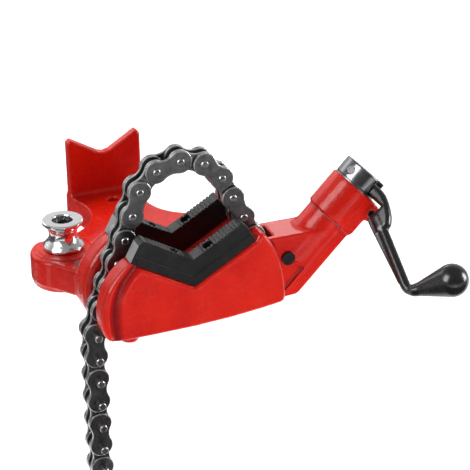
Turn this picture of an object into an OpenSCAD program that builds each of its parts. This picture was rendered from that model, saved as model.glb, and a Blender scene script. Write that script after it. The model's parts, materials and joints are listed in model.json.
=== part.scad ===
// Top-screw bench chain vise for round stock.
// Frame: origin on the bench plane under the middle of the V, X along the
// jaws, -Y towards the front jaw, +Z up. Stock lies along Y at height axis_h.

/* [Stock] */
// Outside diameter of the round stock the chain is set for
stock_d = 73; // [72.4:0.1:73.2]
// Height of the stock's centreline over the bench
axis_h = 120; // [118:1:124]

/* [Chain] */
// Chain pitch
pitch = 25.4; // [25.3:0.05:25.5]
// Radius of the round end of a link plate
plate_r = 11.7; // [11:0.1:11.8]
// Thickness of a link plate
plate_t = 2.9; // [2.5:0.1:3]
// Diameter of the chain pins
chain_pin_d = 7.8; // [7:0.1:7.8]
// Length of a long hook pin
hook_pin_len = 42; // [38:1:44]

/* [Casting] */
// Half width of the slot the chain runs in
slot_half = 16; // [15:0.5:16.5]
// Outer face of each cheek, from the middle plane
cheek_face = 42; // [41:0.5:43]
// Height of the deck's top face
deck_h = 34; // [32:1:35]
// Diameter of the bench bolt holes
bolt_hole_d = 11.5; // [9:0.5:13]
// Radius of the mouth end of the screw housing
housing_r = 25.2; // [24.8:0.1:26]

/* [Jaws] */
// Thickness of a jaw along the stock
jaw_t = 16; // [14:0.5:16]

/* [Screw] */
// Outside diameter of the nut's collar
collar_d = 47; // [45:0.5:48]
// Outside diameter of the chain screw
screw_d = 16; // [14:0.5:16]
// Diameter of the crank's bar
crank_bar_d = 11.8; // [10:0.2:12]
// Largest diameter of the crank's grip
grip_d = 32.8; // [30:0.2:36]
// Turn of the nut and crank about the screw
crank_turn = 65; // [0:5:90]

/* [Roller] */
// Diameter of the bending roller's flanges
roller_d = 42.4; // [40:0.2:43]
// Height of the bending roller
roller_h = 31; // [28:0.5:32]

/* [Hidden] */
$fn = 64;
H = axis_h;
R = stock_d / 2;
jaw_slope = 30;                        // slope of each side of the V
tail_links = 9;                        // links hanging free below the hook
cast_red = [0.78, 0.07, 0.07];
steel_dark = [0.20, 0.20, 0.21];
steel_bright = [0.80, 0.80, 0.82];
black = [0.06, 0.06, 0.065];

// Screw housing: its mouth centre and its 45 degree axis
mouth = [187, -13.5];
s45 = sqrt(0.5);
pivot_u = 9.9;
bar_r = crank_bar_d / 2;

// ---- chain path, all points as [x, z] from the stock's centreline ----
arch_r = 48.4;
arch_step = 2 * asin(pitch / 2 / arch_r);
run_dir = 295.4;                       // right run, falling to the guide pin
left_dir = 250.2;                      // left run, falling through the slot
guide_pin_at = [106, -70];
function arch_pin(k) = let (a = 90 + arch_step * k) arch_r * [cos(a), sin(a)];
function go(p, a, n) = p + n * pitch * [cos(a), sin(a)];
P_D = go(arch_pin(-2), run_dir, 3);
P_C = go(arch_pin(-2), run_dir, 4);
P_B = go(P_C, 303.5, 1);
// where the link from B meets the screw's axis
axis_c = mouth[1] - mouth[0];
pb = -axis_c + P_B[1] - P_B[0];
A2_p = (-(-pb) + sqrt(pb * pb - 2 * (pb * pb - pitch * pitch))) / 2;
P_A2 = [P_B[0] + A2_p, P_B[0] + A2_p + axis_c];
P_A1 = P_A2 + pitch * [s45, s45];
P_L6 = go(arch_pin(2), left_dir, 6);
// chain pins in order from the screw's clevis to the free end
PINS = concat([P_A1, P_A2, P_B, P_C, P_D, go(arch_pin(-2), run_dir, 2), go(arch_pin(-2), run_dir, 1)],
    [for (k = [-2:2]) arch_pin(k)],
    [for (k = [1:6]) go(arch_pin(2), left_dir, k)],
    [for (k = [1:tail_links]) P_L6 - [0, pitch * k]]);
HOOK_FROM = 17;                        // first link whose pins are long

// ---- helpers ----
// solid between y0 and y1 from an [x, z] outline, z taken from the stock's centreline
module slab(pts, y0, y1) translate([0, y1, H]) rotate([90, 0, 0]) linear_extrude(y1 - y0) polygon(pts);
module bar_y(p, r, y0, y1) translate([p[0], y1, H + p[1]]) rotate([90, 0, 0]) cylinder(r = r, h = y1 - y0);
// housing frame: local z runs out along the screw, local x down and away
module housing() translate([mouth[0], 0, H + mouth[1]]) rotate([0, 45, 0]) children();
module slab_uv(pts, y0, y1) housing() translate([0, y1, 0]) rotate([90, 0, 0]) linear_extrude(y1 - y0)
    polygon([for (p = pts) [p[1], p[0]]]);
// the same frame turned with the nut, so that local x runs along the crank's slot
module turned() housing() rotate([0, 0, -crank_turn]) children();
module slab_uw(pts, y0, y1) turned() translate([0, y1, 0]) rotate([90, 0, 0]) linear_extrude(y1 - y0)
    polygon([for (p = pts) [p[1], p[0]]]);
module box(x0, x1, y0, y1, z0, z1) translate([x0, y0, z0]) cube([x1 - x0, y1 - y0, z1 - z0]);

// ---- casting ----
ear = [85, 119.5];
ear_r = 35;
bite = [88.5, 203];
bite_r = 55.5;
wall_y0 = 240;
wall_y1 = 252;
wall_half = 41;
rear_hole = [0, 217];
v_drop = R / cos(jaw_slope);           // V apex below the centreline
seat_drop = 71.3;                      // apex of the jaw seat below it
function v_line(x, drop) = tan(jaw_slope) * abs(x) - drop;

// left outline of a cheek, from the jaw's corner round the horn to the base
horn = [[-64.5, -34.3], [-71, -38.3], [-78.5, -45.3], [-85.6, -54], [-91.2, -64.5], [-94.8, -76], [-96.3, -88],
    [-96.1, -97], [-94.8, -104], [-92, -109.8], [-87.5, -114], [-81, -116]];
// inner edge of the bead that runs round the horn
horn_in = [[-80.5, -116], [-84.5, -107], [-86.2, -95], [-86, -84], [-83.5, -72.5], [-79, -61.5], [-72.5, -52],
    [-65, -44.5], [-60, -41], [-58, -38]];
seat = [[0, -seat_drop], [-58, v_line(58, seat_drop)]];
cheek_right = [[64.8, v_line(64.8, seat_drop) - 0.2], [67, -29.6], [70.5, -27.2], [75, -29.6], [79.6, -36.6],
    [85, -46], [90, -61], [93.2, -75], [94.8, -90], [95.2, -102], [93.6, -106], [90, -107.4], [70, -110.2],
    [37, -113.4], [0, -115.4], [-40, -116]];
cheek = concat(horn, [for (i = [len(cheek_right) - 1:-1:0]) cheek_right[i]], [seat[0]]);

module deck_plan() {
    difference() {
        union() {
            for (s = [-1, 1]) {
                translate([s * ear[0], ear[1]]) circle(r = ear_r, $fn = 96);
                polygon([[0, 20], [s * 89, 20], [s * 90, 68], [s * (ear[0] + ear_r * 0.835), ear[1] - ear_r * 0.55],
                    [s * ear[0], ear[1] + ear_r - 0.5], [s * 60, 165], [s * wall_half, 235],
                    [s * wall_half, wall_y1], [0, wall_y1]]);
            }
        }
        for (s = [-1, 1]) translate([s * bite[0], bite[1]]) circle(r = bite_r, $fn = 128);
    }
}

module base_casting() color(cast_red) difference() {
    union() {
        // deck with its two ears
        translate([0, 0, 4]) linear_extrude(deck_h - 4) deck_plan();
        for (s = [-1, 1]) translate([s * ear[0], ear[1], 0]) cylinder(r = ear_r - 1.5, h = 5, $fn = 96);
        // stepped seat for the roller, plain boss on the other ear
        for (k = [0:2]) translate([-ear[0], ear[1], deck_h - 1]) cylinder(r = 29 - 2.8 * k, h = 1.8 + 0.8 * k, $fn = 96);
        translate([ear[0], ear[1], deck_h - 1]) cylinder(r = 15, h = 2.2);
        translate([rear_hole[0], rear_hole[1], 0]) cylinder(r = 15, h = 5);
        // rear wall that carries long stock
        slab([[-wall_half, -110], [-wall_half, -25], [-wall_half + 3, -21.8], [-37, -21.2], [-6, -v_drop + 3.4 - 1],
            [0, -v_drop + 1], [6, -v_drop + 3.4 - 1], [37, -21.2], [wall_half - 3, -21.8], [wall_half, -25],
            [wall_half, -110]], wall_y0, wall_y1);
        // cheeks, with the bead round each horn
        for (s = [-1, 1]) mirror([0, s > 0 ? 1 : 0, 0]) {
            slab(cheek, -cheek_face, -slot_half);
            slab(concat(horn, horn_in), -cheek_face - 2.6, -cheek_face + 1);
        }
        // floor between the cheeks
        slab([[-77, -116], [-70.5, -99], [-60, -99], [92, -99], [92, -116]], -slot_half - 1, slot_half + 1);
        // web that carries the screw housing
        slab([[84, -46.5], [160.8, -46.5], [91.8, -115.5], [84, -115.5]], -20, 20);
        // screw housing with its larger mouth
        housing() translate([0, 0, -95]) cylinder(r = 22.6, h = 95.5 - 40, $fn = 96);
        housing() translate([0, 0, -39.6]) cylinder(r = housing_r, h = 39.6, $fn = 96);
        // flange along the housing's lower side
        slab_uv([[-39.6, 4], [-39.6, 18.6], [-117, 18.6], [-121.5, 17.3], [-125.5, 13.5], [-131, 9], [-134.5, 6],
            [-136.6, 4]], -22.3, 22.3);
        slab_uv([[0, 4.5], [0, 18], [-2, 20.6], [-38, 20.6], [-42.4, 18.6], [-42.4, 4.5]], -24.6, 24.6);
        // lug for the nut's retaining screw
        housing() translate([22.3, 24.9, -10.4]) rotate([90, 0, 0]) cylinder(r = 9.3, h = 49.8);
        // feet
        translate([-66, -31, 0]) cylinder(r = 9, h = 6);
        for (x = [0, 62]) translate([x, 0, 0]) cylinder(r = 13, h = 6);
    }
    // nut bore, chain bore and the chain's way through the web
    housing() translate([0, 0, -40.5]) cylinder(r = 20.1, h = 50, $fn = 96);
    housing() translate([0, 0, -90]) cylinder(r = 16.6, h = 60, $fn = 96);
    slab([[76, -107], [76, -52.5], [168, -52.5], [113.5, -107]], -12, 12);
    slab([[76, -60], [76, -10], [94, -10], [94, -60]], -12, 12);
    // everything off the bench side of the retaining screw
    housing() translate([21.6, 8.5, -10.4]) rotate([90, 0, 0]) cylinder(r = 3.05, h = 40);
    // guide pin
    bar_y(guide_pin_at, 5.3, -30, 30);
    // bench holes and the roller's bolt
    translate([rear_hole[0], rear_hole[1], -1]) cylinder(d = bolt_hole_d, h = 60);
    translate([ear[0], ear[1], -1]) cylinder(d = bolt_hole_d, h = 60);
    translate([-ear[0], ear[1], -1]) cylinder(r = 6.06, h = 60);
    translate([-ear[0], ear[1], -1]) cylinder(r = 12.5, h = 13);
    // hollow under the deck
    box(-27, 27, 58, 190, -1, 23);
    // jaw screw holes
    for (p = jaw_screw_places()) at_jaw_screw(p) translate([0, 0, -14]) cylinder(r = 3.05, h = 30);
}

// ---- jaws ----
jaw_y0 = 24;
js = 34;                               // screw's distance up each slope
function jaw_screw_places() = [for (sy = [-1, 1]) for (sx = [-1, 1]) [sx, sy]];
// local z is square to the V face, with z = 0 at the jaw's seat
module at_jaw_screw(p) translate([0, p[1] * (jaw_y0 + jaw_t / 2), H - seat_drop]) rotate([0, -p[0] * jaw_slope, 0])
    translate([p[0] * js, 0, 0]) children();
jaw_h = (seat_drop - v_drop) * cos(jaw_slope);

module jaw(s) difference() {
    union() {
        mirror([0, s > 0 ? 1 : 0, 0]) {
            slab([for (p = [[-64.6, v_line(64.6, seat_drop)], [-55.5, -17], [-50.5, v_line(50.5, v_drop)],
                [0, -v_drop], [50.5, v_line(50.5, v_drop)], [55.5, -17], [64.6, v_line(64.6, seat_drop)],
                [0, -seat_drop]]) p + [0, 0.05]], -jaw_y0 - jaw_t, -jaw_y0);
            slab([[-58, v_line(58, 61)], [0, -61], [58, v_line(58, 61)], [58, v_line(58, seat_drop - 1)],
                [0, -seat_drop + 1], [-58, v_line(58, seat_drop - 1)]], -jaw_y0 - jaw_t - 1.2, -jaw_y0 - jaw_t + 1);
        }
    }
    // cross-cut teeth on each side of the V
    for (sx = [-1, 1]) translate([0, 0, H - v_drop]) rotate([0, -sx * jaw_slope, 0])
        for (i = [3:13]) translate([sx * i * 4, 0, 0.05]) rotate([90, 0, 0])
            translate([0, 0, -60]) linear_extrude(120) polygon([[-1.2, 0.6], [1.2, 0.6], [0, -1.3]]);
    for (p = jaw_screw_places()) if (p[1] == s) at_jaw_screw(p) {
        translate([0, 0, -2]) cylinder(r = 3.3, h = 40);
        translate([0, 0, jaw_h - 11.5]) cylinder(r = 5.1, h = 20);
    }
}
module front_jaw() color(black) jaw(-1);
module rear_jaw() color(black) jaw(1);

module jaw_screws() color(steel_dark) for (p = jaw_screw_places()) at_jaw_screw(p) difference() {
    union() {
        translate([0, 0, -13.5]) cylinder(r = 3, h = jaw_h + 13.5 - 11);
        translate([0, 0, jaw_h - 11.45]) cylinder(r = 4.9, h = 5.5);
    }
    translate([0, 0, jaw_h - 9.2]) cylinder(r = 2.9, h = 10, $fn = 6);
}

// ---- pins and small fixed parts ----
module guide_pin() color(steel_dark) difference() {
    union() {
        bar_y(guide_pin_at, 5.25, -20.3, 24.5);
        bar_y(guide_pin_at, 6.9, -23.2, -20.05);
    }
    translate([guide_pin_at[0], 22.6, H + guide_pin_at[1]]) rotate([90, 0, 0]) difference() {
        cylinder(r = 6, h = 1.3);
        translate([0, 0, -1]) cylinder(r = 4.6, h = 4);
    }
}
module guide_pin_ring() color(steel_dark) translate([guide_pin_at[0], 22.5, H + guide_pin_at[1]]) rotate([90, 0, 0])
    difference() {
        cylinder(r = 8.2, h = 1.1);
        translate([0, 0, -1]) cylinder(r = 4.65, h = 4);
        translate([0, -2.2, -1]) cube([12, 4.4, 4]);
    }

module thrust_washer() color(steel_dark) housing() translate([0, 0, 0.05]) difference() {
    cylinder(r = 23.2, h = 1.5, $fn = 96);
    translate([0, 0, -1]) cylinder(r = 20.2, h = 5, $fn = 96);
}

module nut_retaining_screw() color(steel_dark) housing() translate([21.6, 8, -10.4]) rotate([90, 0, 0]) difference() {
    cylinder(r = 3, h = 32.2);
    translate([0, 0, 29.2]) cylinder(r = 1.9, h = 5, $fn = 6);
}

// ---- bending roller ----
roller_z = deck_h + 3.2;
module on_ear() translate([-ear[0], ear[1], roller_z]) children();
module bender_roller() color(steel_bright) on_ear() {
    fr = roller_d / 2;
    gr = 12;                           // radius of the groove's section
    gx = 14.4 + gr;
    mid = roller_h / 2;
    a0 = acos((gx - (fr - 2.2)) / gr);
    rotate_extrude($fn = 96) polygon(concat(
        [[8.06, 0.1], [fr - 1.2, 0.1], [fr - 0.35, 0.45], [fr, 1.3], [fr, 3.0], [fr - 0.6, 3.9]],
        [for (i = [-7:7]) [gx - gr * cos(i / 7 * a0), mid + gr * sin(i / 7 * a0)]],
        [[fr - 0.6, roller_h - 3.9], [fr, roller_h - 3.0], [fr, roller_h - 1.3], [fr - 0.35, roller_h - 0.45],
            [fr - 1.2, roller_h], [11.2, roller_h], [10.35, roller_h - 0.9], [10.35, 11], [8.06, 11]]));
}
module roller_bolt() color(steel_dark) on_ear() difference() {
    union() {
        translate([0, 0, -roller_z + 0.6]) cylinder(r = 6, h = roller_z - 0.6);
        translate([0, 0, -0.05]) cylinder(r = 8, h = 11.35);
        translate([0, 0, 11.3]) cylinder(r = 9.9, h = 8);
    }
    translate([0, 0, 14]) cylinder(r = 5.8, h = 10, $fn = 6);
}
module roller_washer() color(steel_dark) on_ear() translate([0, 0, -0.78]) difference() {
    cylinder(r = 14, h = 0.7);
    translate([0, 0, -1]) cylinder(r = 6.1, h = 4);
}
module roller_nut() color(steel_dark) translate([-ear[0], ear[1], 1.2]) difference() {
    cylinder(r = 10.9, h = 10.6, $fn = 6);
    translate([0, 0, -1]) cylinder(r = 6.05, h = 20);
}

// ---- screw, nut and crank ----
module screw_nut() color(steel_bright) turned() difference() {
    union() {
        translate([0, 0, 1.6]) rotate_extrude($fn = 96) polygon([[0, 0], [collar_d / 2 - 0.8, 0],
            [collar_d / 2, 0.8], [collar_d / 2, 16.7], [collar_d / 2 - 1, 17.7], [0, 17.7]]);
        translate([0, 0, -40]) cylinder(r = 20.03, h = 42, $fn = 96);
    }
    translate([0, 0, -41]) cylinder(d = screw_d + 0.1, h = 44, $fn = 96);
    // groove for the retaining screw
    translate([0, 0, -14]) difference() {
        cylinder(r = 22, h = 7.2, $fn = 96);
        translate([0, 0, -1]) cylinder(r = 18.1, h = 10, $fn = 96);
    }
    // slot the crank folds in
    translate([-9.5, -6.4, 1.35]) cube([40, 12.8, 30]);
    // cross pin
    translate([0, 30, pivot_u]) rotate([90, 0, 0]) cylinder(r = 4, h = 60);
}

lean = 23.2;                           // crank leans back past square
function crank_c(v) = pivot_u - v * tan(lean);
bend_uv = [-43.8, 125.2];
ball_uv = [-6.4, 154.1];
// blade of the crank, as [along the screw, away from it]
blade = [[1.9, -2.4], [1.75, 41], [-13.5, 41.2], [-21.4, 58.3], [-10.3, 62.9], [-6.3, 62.5], [-4.2, 61.1], [0.7, 57],
    [5.4, 50.6], [9.6, 43.6], [13, 36.2], [14.4, 29.6], [14.6, 23], [15.5, 14.4], [17.2, 6.8], [18.1, 0], [12, -7.5]];
module rod_uv(a, b, r) {
    d = b - a;
    translate([a[1], 0, a[0]]) rotate([0, atan2(d[1], d[0]), 0]) cylinder(r = r, h = norm(d));
}
module crank_handle() color(black) difference() {
    union() {
        slab_uw(blade, -5.6, 5.6);
        turned() {
            translate([0, 5.9, pivot_u]) rotate([90, 0, 0]) cylinder(r = 8.1, h = 11.8);
            rod_uv([crank_c(50), 50], bend_uv, bar_r);
            translate([bend_uv[1], 0, bend_uv[0]]) sphere(r = bar_r + 0.35);
            d = ball_uv - bend_uv;
            L = norm(d);
            gr = grip_d / 2;
            a = asin((gr - bar_r) / L);
            translate([bend_uv[1], 0, bend_uv[0]]) rotate([0, atan2(d[1], d[0]), 0])
                rotate_extrude($fn = 72) polygon(concat([[0, 0], [bar_r * cos(a), -bar_r * sin(a)]],
                    [for (i = [0:12]) let (t = -a + (90 + a) * i / 12) [gr * cos(t), L + gr * sin(t)]],
                    [[0, L + gr]]));
        }
    }
    turned() translate([0, 30, pivot_u]) rotate([90, 0, 0]) cylinder(r = 4.05, h = 60);
}
module crank_pivot_pin() color(steel_bright) turned() translate([0, 23.1, pivot_u]) rotate([90, 0, 0])
    cylinder(r = 3.96, h = 46.2);

fork_u = (P_A1[0] - mouth[0] + P_A1[1] - mouth[1]) * s45;
module fork_2d() difference() {
    union() {
        translate([-7.4, fork_u]) square([14.8, -52 - fork_u]);
        translate([0, fork_u]) circle(r = 8.5);
    }
    translate([0, fork_u]) circle(r = chain_pin_d / 2 + 0.03);
}
module chain_screw() color(steel_bright) {
    housing() rotate_extrude($fn = 64) polygon([[0, -48], [screw_d / 2, -48], [screw_d / 2, -6],
        [screw_d / 2 - 1.4, -4.6], [0, -4.6]]);
    slab_uv([[-53.4, -8.5], [-46, -8.5], [-46, 8.5], [-53.4, 8.5]], -10.6, 10.6);
    for (y = [-7.3, 10.3]) housing() translate([0, y, 0]) rotate([90, 0, 0]) linear_extrude(3) fork_2d();
}
module clevis_pin() color(steel_dark) bar_y(P_A1, chain_pin_d / 2, -11.3, 11.3);

// ---- chain ----
// figure-eight plate between two pins, lying along +x, waist cut by two circles
waist_r = 15.9;
waist_c = sqrt(pow(plate_r + waist_r, 2) - pow(pitch / 2, 2));
module plate_2d(hole) difference() {
    union() {
        circle(r = plate_r);
        translate([pitch, 0]) circle(r = plate_r);
        translate([pitch * plate_r / 2 / (plate_r + waist_r), -waist_c * plate_r / (plate_r + waist_r)])
            square([pitch - pitch * plate_r / (plate_r + waist_r), 2 * waist_c * plate_r / (plate_r + waist_r)]);
    }
    for (s = [-1, 1]) translate([pitch / 2, s * waist_c]) circle(r = waist_r);
    for (x = [0, pitch]) translate([x, 0]) circle(r = hole);
}
module plate(y0, hole) translate([0, y0 + plate_t, 0]) rotate([90, 0, 0]) linear_extrude(plate_t) plate_2d(hole);
module at_link(i) {
    a = PINS[i];
    d = PINS[i + 1] - a;
    translate([a[0], 0, H + a[1]]) rotate([0, -atan2(d[1], d[0]), 0]) children();
}
pin_r = chain_pin_d / 2;
in_y = 3.9;                            // inner plate's inner face
out_y = 7.3;                           // outer plate's inner face
module inner_link(i) color(steel_dark) at_link(i) {
    plate(in_y, 5.05);
    plate(-in_y - plate_t, 5.05);
    for (x = [0, pitch]) translate([x, in_y + plate_t, 0]) rotate([90, 0, 0]) difference() {
        cylinder(r = 5, h = 2 * (in_y + plate_t));
        translate([0, 0, -1]) cylinder(r = pin_r + 0.05, h = 30);
    }
}
module outer_link(i) color(steel_dark) at_link(i) {
    hl = i >= HOOK_FROM ? hook_pin_len / 2 : 11.5;
    for (s = [-1, 1]) plate(s > 0 ? out_y : -out_y - plate_t, pin_r + 0.03);
    for (x = [0, pitch]) translate([x, hl, 0]) rotate([90, 0, 0]) {
        cylinder(r = pin_r, h = 2 * hl);
    }
}
module link_01_inner() inner_link(0);
module link_02_outer() outer_link(1);
module link_03_inner() inner_link(2);
module link_04_outer() outer_link(3);
module link_05_inner() inner_link(4);
module link_06_outer() outer_link(5);
module link_07_inner() inner_link(6);
module link_08_outer() outer_link(7);
module link_09_inner() inner_link(8);
module link_10_outer() outer_link(9);
module link_11_inner() inner_link(10);
module link_12_outer() outer_link(11);
module link_13_inner() inner_link(12);
module link_14_outer() outer_link(13);
module link_15_inner() inner_link(14);
module link_16_outer() outer_link(15);
module link_17_inner() inner_link(16);
module link_18_outer() outer_link(17);
module link_19_inner() inner_link(18);
module link_20_outer() outer_link(19);
module link_21_inner() inner_link(20);
module link_22_outer() outer_link(21);
module link_23_inner() inner_link(22);
module link_24_outer() outer_link(23);
module link_25_inner() inner_link(24);
module link_26_outer() outer_link(25);

base_casting();
front_jaw();
rear_jaw();
jaw_screws();
guide_pin();
guide_pin_ring();
thrust_washer();
nut_retaining_screw();
bender_roller();
roller_bolt();
roller_washer();
roller_nut();
screw_nut();
crank_handle();
crank_pivot_pin();
chain_screw();
clevis_pin();
link_01_inner();
link_02_outer();
link_03_inner();
link_04_outer();
link_05_inner();
link_06_outer();
link_07_inner();
link_08_outer();
link_09_inner();
link_10_outer();
link_11_inner();
link_12_outer();
link_13_inner();
link_14_outer();
link_15_inner();
link_16_outer();
link_17_inner();
link_18_outer();
link_19_inner();
link_20_outer();
link_21_inner();
link_22_outer();
link_23_inner();
link_24_outer();
link_25_inner();
link_26_outer();
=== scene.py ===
import json
import math

import bmesh
import bpy
import numpy as np
from mathutils import Matrix, Vector

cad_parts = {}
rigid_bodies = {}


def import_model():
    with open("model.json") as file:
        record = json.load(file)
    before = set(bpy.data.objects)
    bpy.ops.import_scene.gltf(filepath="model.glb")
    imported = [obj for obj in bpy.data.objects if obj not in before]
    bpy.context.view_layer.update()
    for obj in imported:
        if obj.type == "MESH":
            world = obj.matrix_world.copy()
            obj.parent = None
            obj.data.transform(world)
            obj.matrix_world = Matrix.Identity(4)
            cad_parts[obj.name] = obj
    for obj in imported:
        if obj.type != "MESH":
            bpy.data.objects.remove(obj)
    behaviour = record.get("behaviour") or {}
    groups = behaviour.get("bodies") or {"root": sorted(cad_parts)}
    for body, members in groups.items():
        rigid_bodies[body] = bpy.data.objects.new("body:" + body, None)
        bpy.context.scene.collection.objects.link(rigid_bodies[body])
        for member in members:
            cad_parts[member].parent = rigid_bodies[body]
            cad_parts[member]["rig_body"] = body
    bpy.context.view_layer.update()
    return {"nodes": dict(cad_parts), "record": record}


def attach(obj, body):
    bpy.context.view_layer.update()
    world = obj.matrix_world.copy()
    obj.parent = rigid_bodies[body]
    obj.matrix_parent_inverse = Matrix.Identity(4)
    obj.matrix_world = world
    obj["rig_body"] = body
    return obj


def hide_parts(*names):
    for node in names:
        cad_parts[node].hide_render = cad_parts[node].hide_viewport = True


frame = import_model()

NODES = frame["nodes"]
MM = 0.001
S45 = math.sqrt(0.5)
H = 0.120

# ------------------------------------------------------------------ places
PITCH = 25.4
ARCH_R = 48.4
STEP = 2 * math.degrees(math.asin(PITCH / 2 / ARCH_R))


def _arch(k):
    a = math.radians(90 + STEP * k)
    return (ARCH_R * math.cos(a), ARCH_R * math.sin(a))


def _go(p, a, n):
    a = math.radians(a)
    return (p[0] + n * PITCH * math.cos(a), p[1] + n * PITCH * math.sin(a))


def chain_pins():
    """The chain's pin centres as (x, z) in mm from the stock's centreline, from the screw to the free end."""
    c_pin = _go(_arch(-2), 295.4, 4)
    b_pin = _go(c_pin, 303.5, 1)
    c = -13.5 - 187
    pb = -c + b_pin[1] - b_pin[0]
    p = (pb + math.sqrt(pb * pb - 2 * (pb * pb - PITCH * PITCH))) / 2
    a2 = (b_pin[0] + p, b_pin[0] + p + c)
    a1 = (a2[0] + PITCH * S45, a2[1] + PITCH * S45)
    l6 = _go(_arch(2), 250.2, 6)
    return (
        [a1, a2, b_pin, c_pin, _go(_arch(-2), 295.4, 3), _go(_arch(-2), 295.4, 2), _go(_arch(-2), 295.4, 1)]
        + [_arch(k) for k in range(-2, 3)]
        + [_go(_arch(2), 250.2, k) for k in range(1, 7)]
        + [(l6[0], l6[1] - PITCH * k) for k in range(1, 10)]
    )


PINS = chain_pins()
LINKS = [f"link_{i + 1:02d}_{'inner' if i % 2 == 0 else 'outer'}" for i in range(26)]
MOUTH = Vector((0.187, 0, H - 0.0135))
# columns: v (down and away), y, u (out along the screw)
HOUSING = Matrix.Translation(MOUTH) @ Matrix(((S45, 0, S45), (0, 1, 0), (-S45, 0, S45))).to_4x4()

# ------------------------------------------------------------------ materials


class Shader:
    """A Principled shader with a few short helpers for its nodes."""

    def __init__(self, name):
        self.mat = bpy.data.materials.new(name)
        self.mat.use_nodes = True
        self.nt = self.mat.node_tree
        self.nt.nodes.clear()
        self.out = self.nt.nodes.new("ShaderNodeOutputMaterial")
        self.bsdf = self.nt.nodes.new("ShaderNodeBsdfPrincipled")
        self.link(self.bsdf.outputs[0], self.out.inputs["Surface"])
        self.coord = self.nt.nodes.new("ShaderNodeTexCoord").outputs["Object"]

    def link(self, a, b):
        self.nt.links.new(a, b)

    def put(self, socket, value):
        if hasattr(value, "is_output"):
            self.link(value, socket)
        else:
            socket.default_value = value

    def set(self, **kw):
        names = {"base": "Base Color", "rough": "Roughness", "metal": "Metallic", "coat": "Coat Weight",
                 "coat_rough": "Coat Roughness", "spec": "Specular IOR Level", "normal": "Normal", "ior": "IOR",
                 "coat_normal": "Coat Normal", "aniso": "Anisotropic"}
        for k, v in kw.items():
            self.put(self.bsdf.inputs[names[k]], v)
        return self

    def noise(self, scale, detail=3.0, rough=0.55, coord=None, distortion=0.0):
        n = self.nt.nodes.new("ShaderNodeTexNoise")
        self.link(coord or self.coord, n.inputs["Vector"])
        n.inputs["Scale"].default_value = scale
        n.inputs["Detail"].default_value = detail
        n.inputs["Roughness"].default_value = rough
        n.inputs["Distortion"].default_value = distortion
        return n.outputs["Fac"]

    def voronoi(self, scale, coord=None, feature="F1"):
        n = self.nt.nodes.new("ShaderNodeTexVoronoi")
        n.feature = feature
        self.link(coord or self.coord, n.inputs["Vector"])
        n.inputs["Scale"].default_value = scale
        return n.outputs["Distance"]

    def wave(self, scale, axis="Z", kind="BANDS", distortion=0.0, coord=None, detail=2.0):
        n = self.nt.nodes.new("ShaderNodeTexWave")
        n.wave_type = kind
        if kind == "BANDS":
            n.bands_direction = axis
        else:
            n.rings_direction = axis
        self.link(coord or self.coord, n.inputs["Vector"])
        n.inputs["Scale"].default_value = scale
        n.inputs["Distortion"].default_value = distortion
        n.inputs["Detail"].default_value = detail
        return n.outputs["Fac"]

    def ramp(self, fac, stops, smooth=False):
        n = self.nt.nodes.new("ShaderNodeValToRGB")
        self.put(n.inputs["Fac"], fac)
        r = n.color_ramp
        r.interpolation = "EASE" if smooth else "LINEAR"
        while len(r.elements) < len(stops):
            r.elements.new(0.5)
        for e, (at, c) in zip(r.elements, stops):
            e.position = at
            e.color = (c, c, c, 1) if isinstance(c, (int, float)) else (*c, 1)
        return n.outputs["Color"]

    def range(self, fac, a, b, c, d):
        n = self.nt.nodes.new("ShaderNodeMapRange")
        self.put(n.inputs["Value"], fac)
        for i, v in zip(("From Min", "From Max", "To Min", "To Max"), (a, b, c, d)):
            n.inputs[i].default_value = v
        return n.outputs["Result"]

    def math(self, op, a, b=0.0, c=0.0):
        n = self.nt.nodes.new("ShaderNodeMath")
        n.operation = op
        for s, v in zip(n.inputs, (a, b, c)):
            self.put(s, v)
        return n.outputs[0]

    def mix(self, fac, a, b, mode="MIX"):
        n = self.nt.nodes.new("ShaderNodeMix")
        n.data_type = "RGBA"
        n.blend_type = mode
        self.put(n.inputs["Factor"], fac)
        for s, v in zip(n.inputs[6:8], (a, b)):
            self.put(s, (*v, 1) if isinstance(v, tuple) and len(v) == 3 else v)
        return n.outputs[2]

    def attribute(self, name):
        n = self.nt.nodes.new("ShaderNodeAttribute")
        n.attribute_name = name
        return n.outputs["Fac"]

    def pointiness(self):
        return self.nt.nodes.new("ShaderNodeNewGeometry").outputs["Pointiness"]

    def bump(self, height, distance=0.001, strength=1.0, normal=None):
        n = self.nt.nodes.new("ShaderNodeBump")
        n.inputs["Distance"].default_value = distance
        n.inputs["Strength"].default_value = strength
        self.put(n.inputs["Height"], height)
        if normal is not None:
            self.link(normal, n.inputs["Normal"])
        return n.outputs["Normal"]

    def mapping(self, scale=(1, 1, 1), location=(0, 0, 0), rotation=(0, 0, 0), coord=None):
        n = self.nt.nodes.new("ShaderNodeMapping")
        self.link(coord or self.coord, n.inputs["Vector"])
        n.inputs["Scale"].default_value = scale
        n.inputs["Location"].default_value = location
        n.inputs["Rotation"].default_value = rotation
        return n.outputs["Vector"]


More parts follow.
